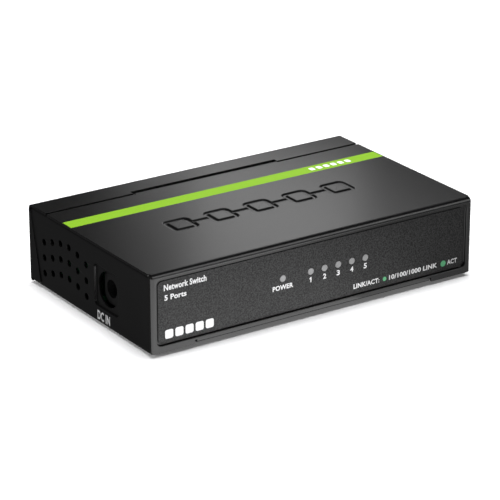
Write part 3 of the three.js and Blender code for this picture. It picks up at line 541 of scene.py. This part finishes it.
def base_rear(skin):
    bend = REAR_FOOT_BEND
    side_x = SIDE_X - SIDE_FOOT_BEND
    columns = (-REAR_HALF_W, -side_x, side_x, REAR_HALF_W)
    foot = arc(REAR_Y - bend, FLOOR_Z + bend, bend, bend, 270, 360, 8)
    skin.loft([[(x, y, z) for x in columns] for y, z in foot])

    top = arc(REAR_Y - REAR_TOP_BEND, TOP_Z - REAR_TOP_BEND, REAR_TOP_BEND, REAR_TOP_BEND, 0, 90, 10)
    skin.loft([[(x, y, z) for x in (-REAR_HALF_W, REAR_HALF_W)] for y, z in top])
    wall = [(x, FLOOR_Z + bend) for x in columns]
    wall += [(REAR_HALF_W, TOP_Z - REAR_TOP_BEND), (-REAR_HALF_W, TOP_Z - REAR_TOP_BEND)]
    gap = PORT_WINDOW_GAP
    window = [
        (shield_low.x - gap, shield_low.z - gap),
        (shield_high.x + gap, shield_low.z - gap),
        (shield_high.x + gap, shield_high.z + gap),
        (shield_low.x - gap, shield_high.z + gap),
    ]
    skin.panel(lambda x, z: (x, REAR_Y, z), wall, [window])

    notch = TONGUE_HALF_W + NOTCH_GAP
    strip = [
        (-REAR_HALF_W, REAR_Y - REAR_TOP_BEND),
        (-REAR_HALF_W, STRIP_FRONT_Y),
        (-notch, STRIP_FRONT_Y),
        (-notch, STRIP_NOTCH_Y),
        (notch, STRIP_NOTCH_Y),
        (notch, STRIP_FRONT_Y),
        (REAR_HALF_W, STRIP_FRONT_Y),
        (REAR_HALF_W, REAR_Y - REAR_TOP_BEND),
    ]
    skin.panel(on_top, strip)


def make_base(paint):
    skin = Skin()
    for side in (-1, 1):
        base_side(skin, side)
    base_floor(skin)
    base_rear(skin)
    return skin.piece("base_sheet", [paint], SHEET - 0.01, replaces=["base_tray"])


# ---- Front label and what is printed ----
PRINT_THICK = 0.02
INK_GAP = 0.005  # keeps the ink's back just clear of the surface
SMALL_TYPE = 1.75
NUMBER_TYPE = 1.9


def make_label(film):
    skin = Skin()
    outline = rounded(label_low.x, label_low.z, label_high.x, label_high.z, LABEL_CORNER)
    holes = [circle(x, LIGHT_Z, LABEL_HOLE_R) for x in lamp_xs()]
    skin.panel(lambda x, z: (x, label_low.y, z), outline, holes)
    return skin.piece("label_panel", [film], LABEL_THICK, 0.06, replaces=["front_label"])


LABEL_FACE = Matrix(((1, 0, 0, 0), (0, 0, -1, label_low.y), (0, 1, 0, 0), (0, 0, 0, 1)))
LEFT_FACE = Matrix(((0, 0, -1, -SIDE_X), (-1, 0, 0, 0), (0, 1, 0, 0), (0, 0, 0, 1)))
TOP_FACE = Matrix(((1, 0, 0, 0), (0, 1, 0, 0), (0, 0, 1, TOP_Z), (0, 0, 0, 1)))


def printed(name, data, face, ink):
    """Turns flat geometry, drawn in millimetres on a face, into a film of ink."""
    obj = bpy.data.objects.new(name, data)
    bpy.context.scene.collection.objects.link(obj)
    data.transform(Matrix.Scale(MM, 4) @ face)
    data.materials.clear()
    data.materials.append(ink)
    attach(obj, CASE)
    return obj


def legend(name, text, face, left, foot, width, height, ink, boldness=0.03):
    """Text fitted to a width and a height, with its lower left corner given."""
    font = bpy.data.curves.new(name, "FONT")
    font.body = text
    font.extrude = PRINT_THICK / 2
    font.offset = boldness
    font.resolution_u = 3
    font.space_character = 1.03
    holder = bpy.data.objects.new(name + "_text", font)
    bpy.context.scene.collection.objects.link(holder)
    data = bpy.data.meshes.new_from_object(holder.evaluated_get(bpy.context.evaluated_depsgraph_get()))
    bpy.data.objects.remove(holder)
    xs = [v.co.x for v in data.vertices]
    ys = [v.co.y for v in data.vertices]
    grow_x = width / (max(xs) - min(xs))
    grow_y = height / (max(ys) - min(ys))
    to_corner = Matrix.Translation((left, foot, PRINT_THICK / 2 + INK_GAP))
    scale = Matrix.Diagonal((grow_x, grow_y, 1, 1))
    data.transform(to_corner @ scale @ Matrix.Translation((-min(xs), -min(ys), 0)))
    return printed(name, data, face, ink)


def ink_shapes(name, outlines, face, ink):
    """Flat printed shapes, each an outline of points."""
    flat = bmesh.new()
    for outline in outlines:
        foot = [flat.verts.new((u, v, INK_GAP)) for u, v in outline]
        head = [flat.verts.new((u, v, INK_GAP + PRINT_THICK)) for u, v in outline]
        flat.faces.new(list(reversed(foot)))
        flat.faces.new(head)
        for i, start in enumerate(foot):
            j = (i + 1) % len(foot)
            flat.faces.new((start, foot[j], head[j], head[i]))
    data = bpy.data.meshes.new(name)
    flat.to_mesh(data)
    flat.free()
    return printed(name, data, face, ink)


def print_label(white, green):
    lamps = lamp_xs()
    low = FLOOR_Z
    number_row = low + 11.65
    link_row = low + 5.1
    dot_row = low + 5.9
    legend("legend_power", "POWER", LABEL_FACE, lamps[0] - 4.1, low + 11.6, 8.2, SMALL_TYPE, white)
    ink_shapes("legend_1", [figure_one(lamps[1], number_row, NUMBER_TYPE)], LABEL_FACE, white)
    for number, x in enumerate(lamps[2:], 2):
        legend(f"legend_{number}", str(number), LABEL_FACE, x - 0.65, number_row, 1.3, NUMBER_TYPE, white)
    legend("legend_link_act", "LINK/ACT:", LABEL_FACE, 15.6, link_row, 10.8, SMALL_TYPE, white)
    legend("legend_speeds", "10/100/1000 LINK", LABEL_FACE, 30.5, link_row, 20.6, SMALL_TYPE, white)
    legend("legend_act", "ACT", LABEL_FACE, 55.4, link_row, 4.3, SMALL_TYPE, white)
    legend("legend_kind", "Network Switch", LABEL_FACE, -59.7, low + 21.6, 16.3, 2.2, white)
    legend("legend_ports", "5 Ports", LABEL_FACE, -59.5, low + 18.2, 8.4, NUMBER_TYPE, white)
    dots = [circle(28.6, dot_row, 0.75, 24), circle(53.7, dot_row, 1.1, 24)]
    ink_shapes("legend_dots", dots, LABEL_FACE, green)
    ink_shapes("label_mark", square_row(-59.4, low + 4.8, 3.1, 5, 3.9), LABEL_FACE, white)
    legend("legend_dc_in", "DC IN", LEFT_FACE, 4.9, low + 1.15, 8.0, 3.3, white)
    ink_shapes("stripe_mark", stripe_mark(), TOP_FACE, white)


def figure_one(middle, foot, height):
    """The outline of a plain 1 with a flag."""
    right = middle + 0.2
    head = foot + height
    return [
        (right, foot),
        (right, head),
        (right - 0.3, head),
        (right - 0.75, head - 0.42),
        (right - 0.75, head - 0.8),
        (right - 0.38, head - 0.6),
        (right - 0.38, foot),
    ]


def square_row(left, foot, size, count, pitch):
    """A plain mark: solid rounded squares in a row."""
    starts = [left + i * pitch for i in range(count)]
    return [rounded(start, foot, start + size, foot + size, size * 0.22, 4) for start in starts]


def stripe_mark():
    """A row of plain short bars on the green stripe."""
    return [rounded(34.5 + i * 3.1, 12.9, 36.5 + i * 3.1, 15.4, 0.6, 4) for i in range(6)]


# ---- Materials ----
def new_material(name):
    material = bpy.data.materials.new(name)
    material.use_nodes = True
    nodes = material.node_tree.nodes
    return material, nodes, material.node_tree.links, nodes["Principled BSDF"]


def noise(nodes, links, scale, detail=3.0, roughness=0.5):
    place = nodes.new("ShaderNodeTexCoord")
    texture = nodes.new("ShaderNodeTexNoise")
    texture.inputs["Scale"].default_value = scale
    texture.inputs["Detail"].default_value = detail
    texture.inputs["Roughness"].default_value = roughness
    links.new(place.outputs["Object"], texture.inputs["Vector"])
    return texture.outputs["Fac"]


def ramp(nodes, links, value, low, high, start=0.3, end=0.7):
    mix = nodes.new("ShaderNodeValToRGB")
    mix.color_ramp.elements[0].position = start
    mix.color_ramp.elements[0].color = (*low, 1)
    mix.color_ramp.elements[1].position = end
    mix.color_ramp.elements[1].color = (*high, 1)
    links.new(value, mix.inputs["Fac"])
    return mix.outputs["Color"]


def spread(nodes, links, value, low, high):
    between = nodes.new("ShaderNodeMapRange")
    between.inputs["From Min"].default_value = 0.3
    between.inputs["From Max"].default_value = 0.7
    between.inputs["To Min"].default_value = low
    between.inputs["To Max"].default_value = high
    links.new(value, between.inputs["Value"])
    return between.outputs["Result"]


def bump(nodes, links, shader, height, distance, strength=1.0):
    relief = nodes.new("ShaderNodeBump")
    relief.inputs["Strength"].default_value = strength
    relief.inputs["Distance"].default_value = distance * MM
    links.new(height, relief.inputs["Height"])
    links.new(relief.outputs["Normal"], shader.inputs["Normal"])


def finish(name, low, high, rough, mottle=400, grain=2500, relief=0.01, metallic=0.0, specular=0.5, coat=0.0):
    """A surface with mottled colour, uneven gloss and a fine relief.

    mottle and grain are patches per metre, relief is in millimetres."""
    material, nodes, links, shader = new_material(name)
    links.new(ramp(nodes, links, noise(nodes, links, mottle), low, high), shader.inputs["Base Color"])
    links.new(spread(nodes, links, noise(nodes, links, mottle), *rough), shader.inputs["Roughness"])
    bump(nodes, links, shader, noise(nodes, links, grain, 2.0), relief)
    shader.inputs["Metallic"].default_value = metallic
    shader.inputs["Specular IOR Level"].default_value = specular
    shader.inputs["Coat Weight"].default_value = coat
    return material


def grey(level):
    return (level, level, level * 1.01)


PAINT_TEXTURE = (1600, 3600, 0.003)


def case_paint():
    return finish("case_paint", grey(0.004), grey(0.006), (0.28, 0.31), *PAINT_TEXTURE)


def stripe_paint():
    dark = (0.186, 0.367, 0.0195)
    light = (0.194, 0.381, 0.021)
    return finish("stripe_paint", dark, light, (0.56, 0.62), *PAINT_TEXTURE, specular=0.2)


def label_film():
    """Fine speckled texture on a dark film."""
    material, nodes, links, shader = new_material("label_film")
    speckle = noise(nodes, links, 2100, 3.0, 0.6)
    links.new(ramp(nodes, links, speckle, grey(0.011), grey(0.044), 0.36, 0.64), shader.inputs["Base Color"])
    links.new(spread(nodes, links, speckle, 0.66, 0.42), shader.inputs["Roughness"])
    bump(nodes, links, shader, speckle, 0.02)
    shader.inputs["Specular IOR Level"].default_value = 0.2
    return material


def clear_plastic():
    """Hazy moulded plastic."""
    return finish("clear_plastic", grey(0.25), grey(0.30), (0.25, 0.35), 500, 4000, 0.004)


def board():
    return finish("board", (0.004, 0.03, 0.012), (0.006, 0.042, 0.017), (0.45, 0.55), 500, 1200, 0.01)


def capacitor_sleeve():
    return finish("capacitor_sleeve", (0.01, 0.02, 0.1), (0.02, 0.03, 0.13), (0.25, 0.35))


def gold_plate():
    return finish("gold_plate", (0.62, 0.4, 0.12), (0.7, 0.47, 0.16), (0.2, 0.3), 700, 2500, 0.003, 1.0)


MATERIALS = {
    "case_paint": case_paint,
    "label_film": label_film,
    "sticker": lambda: finish("sticker", grey(0.62), grey(0.68), (0.45, 0.55), 300, 1500, 0.004),
    "foot_rubber": lambda: finish("foot_rubber", grey(0.008), grey(0.014), (0.75, 0.9), 500, 1800, 0.02),
    "zinc_plate": lambda: finish("zinc_plate", grey(0.5), grey(0.6), (0.28, 0.42), 900, 2500, 0.006, 1.0),
    "board": board,
    "chip_plastic": lambda: finish("chip_plastic", grey(0.012), grey(0.02), (0.5, 0.62), 900, 4500, 0.01),
    "thermal_pad": lambda: finish("thermal_pad", grey(0.26), grey(0.32), (0.8, 0.9), 400, 1500, 0.02),
    "heat_sink": lambda: finish("heat_sink", grey(0.55), grey(0.62), (0.3, 0.42), 700, 2600, 0.008, 1.0),
    "tin_plate": lambda: finish("tin_plate", grey(0.58), grey(0.68), (0.24, 0.36), 500, 2000, 0.004, 1.0),
    "ferrite": lambda: finish("ferrite", grey(0.03), grey(0.045), (0.6, 0.75), 900, 2600, 0.015),
    "capacitor_sleeve": capacitor_sleeve,
    "led_resin": lambda: finish("led_resin", (0.7, 0.66, 0.45), (0.78, 0.74, 0.55), (0.2, 0.3)),
    "light_pipe": clear_plastic,
    "black_plastic": lambda: finish("black_plastic", grey(0.008), grey(0.013), (0.4, 0.5), 500, 2800, 0.008),
    "gold_plate": gold_plate,
}


def dress_nodes(made):
    """Gives every CAD node that still shows its finish and small rounded edges."""
    for part in frame["record"]["subparts"]:
        obj = frame["nodes"][part["node"]]
        if obj.hide_render:
            continue
        obj.data.materials.clear()
        obj.data.materials.append(made[part["material_slot"]])
        planes = obj.modifiers.new("planes", "DECIMATE")
        planes.decimate_type = "DISSOLVE"
        planes.angle_limit = math.radians(1)
        soften(obj, 0.06)


# ---- Studio ----
AZIMUTH = math.radians(-33.73)
ELEVATION = math.radians(21.6)
DISTANCE = 0.9063
AIM = Vector((1.37, 2.52, 9.43)) * MM
LENS = 188.1


def make_camera():
    back = Vector(
        (
            math.sin(AZIMUTH) * math.cos(ELEVATION),
            -math.cos(AZIMUTH) * math.cos(ELEVATION),
            math.sin(ELEVATION),
        )
    )
    right = Vector((math.cos(AZIMUTH), math.sin(AZIMUTH), 0))
    up = back.cross(right)
    data = bpy.data.cameras.new("camera")
    data.lens = LENS
    data.sensor_width = 36
    data.clip_end = 20
    camera = bpy.data.objects.new("camera", data)
    turn = Matrix((right, up, back)).transposed().to_4x4()
    camera.matrix_world = Matrix.Translation(AIM + back * DISTANCE) @ turn
    bpy.context.scene.collection.objects.link(camera)
    bpy.context.scene.camera = camera


def area_light(name, place, aim, width, height, power, roll=0.0):
    data = bpy.data.lights.new(name, "AREA")
    data.energy = power
    data.shape = "RECTANGLE"
    data.size = width
    data.size_y = height
    light = bpy.data.objects.new(name, data)
    light.location = place
    facing = (Vector(place) - Vector(aim)).to_track_quat("Z", "Y").to_matrix()
    light.rotation_euler = (facing @ Matrix.Rotation(math.radians(roll), 3, "Z")).to_euler()
    light.visible_camera = False
    bpy.context.scene.collection.objects.link(light)
    return light


def make_floor():
    """Pale paper. Its faint glow keeps the shadow at the foot of the case from going black."""
    grid = bmesh.new()
    bmesh.ops.create_grid(grid, x_segments=8, y_segments=8, size=4)
    data = bpy.data.meshes.new("floor")
    grid.to_mesh(data)
    grid.free()
    floor = bpy.data.objects.new("floor", data)
    bpy.context.scene.collection.objects.link(floor)
    paper = finish("floor_paper", grey(0.86), grey(0.88), (0.9, 0.95), 5, 50, 0.1)
    shader = paper.node_tree.nodes["Principled BSDF"]
    shader.inputs["Emission Color"].default_value = (1, 1, 1, 1)
    shader.inputs["Emission Strength"].default_value = 0.12
    data.materials.append(paper)
    floor.visible_glossy = False
    floor.visible_diffuse = False


def make_world():
    """A soft glow near the horizon that fades to black overhead."""
    world = bpy.data.worlds.new("studio")
    world.use_nodes = True
    nodes = world.node_tree.nodes
    links = world.node_tree.links
    place = nodes.new("ShaderNodeTexCoord")
    split = nodes.new("ShaderNodeSeparateXYZ")
    links.new(place.outputs["Generated"], split.inputs["Vector"])
    glow = ramp(nodes, links, split.outputs["Z"], grey(0.085), grey(0.002), 0.1, 0.5)
    links.new(glow, nodes["Background"].inputs["Color"])
    bpy.context.scene.world = world
    bpy.context.scene.view_settings.view_transform = "Standard"


TOP_MIDDLE = (0, 0, 0.029)


def make_lights():
    overhead = area_light("overhead", (0.05, 0.05, 1.4), (0, 0, 0), 0.9, 0.9, 33)
    overhead.visible_glossy = False
    area_light("rear_panel", (0.092, 0.122, 0.159), TOP_MIDDLE, 0.071, 0.177, 0.039)
    area_light("rear_strip", (0.181, 0.206, 0.150), TOP_MIDDLE, 0.218, 0.046, 0.037, -26)
    bounces = (
        ("bounce_left", -0.3, 0.02, 0.30),
        ("bounce_middle", 0.02, 0.05, 0.016),
        ("bounce_right", 0.05, 0.15, 0.022),
    )
    for name, left, right, power in bounces:
        middle = (left + right) / 2
        area_light(name, (middle, -0.1004, 0.0003), (middle, -0.1004, 0.1), right - left, 0.12, power)
    window = area_light("front_window", (0.5, -0.76, 0.42), (0, -0.04, 0.028), 0.4, 0.5, 2.2)
    window.visible_diffuse = False
    side_fill = area_light("side_fill", (-0.7, 0.1, 0.25), (-0.065, 0, 0.014), 0.3, 0.3, 2.0)
    side_fill.visible_glossy = False


make_camera()
make_floor()
make_world()
make_lights()
finishes = {slot: make() for slot, make in MATERIALS.items()}
white_ink = finish("white_ink", grey(0.78), grey(0.82), (0.5, 0.6), 500, 3000, 0.002)
green_ink = finish("green_ink", (0.10, 0.45, 0.20), (0.12, 0.5, 0.23), (0.5, 0.6), 500, 3000, 0.002)
make_cover(finishes["case_paint"], stripe_paint())
make_base(finishes["case_paint"])
make_label(finishes["label_film"])
print_label(white_ink, green_ink)
dress_nodes(finishes)
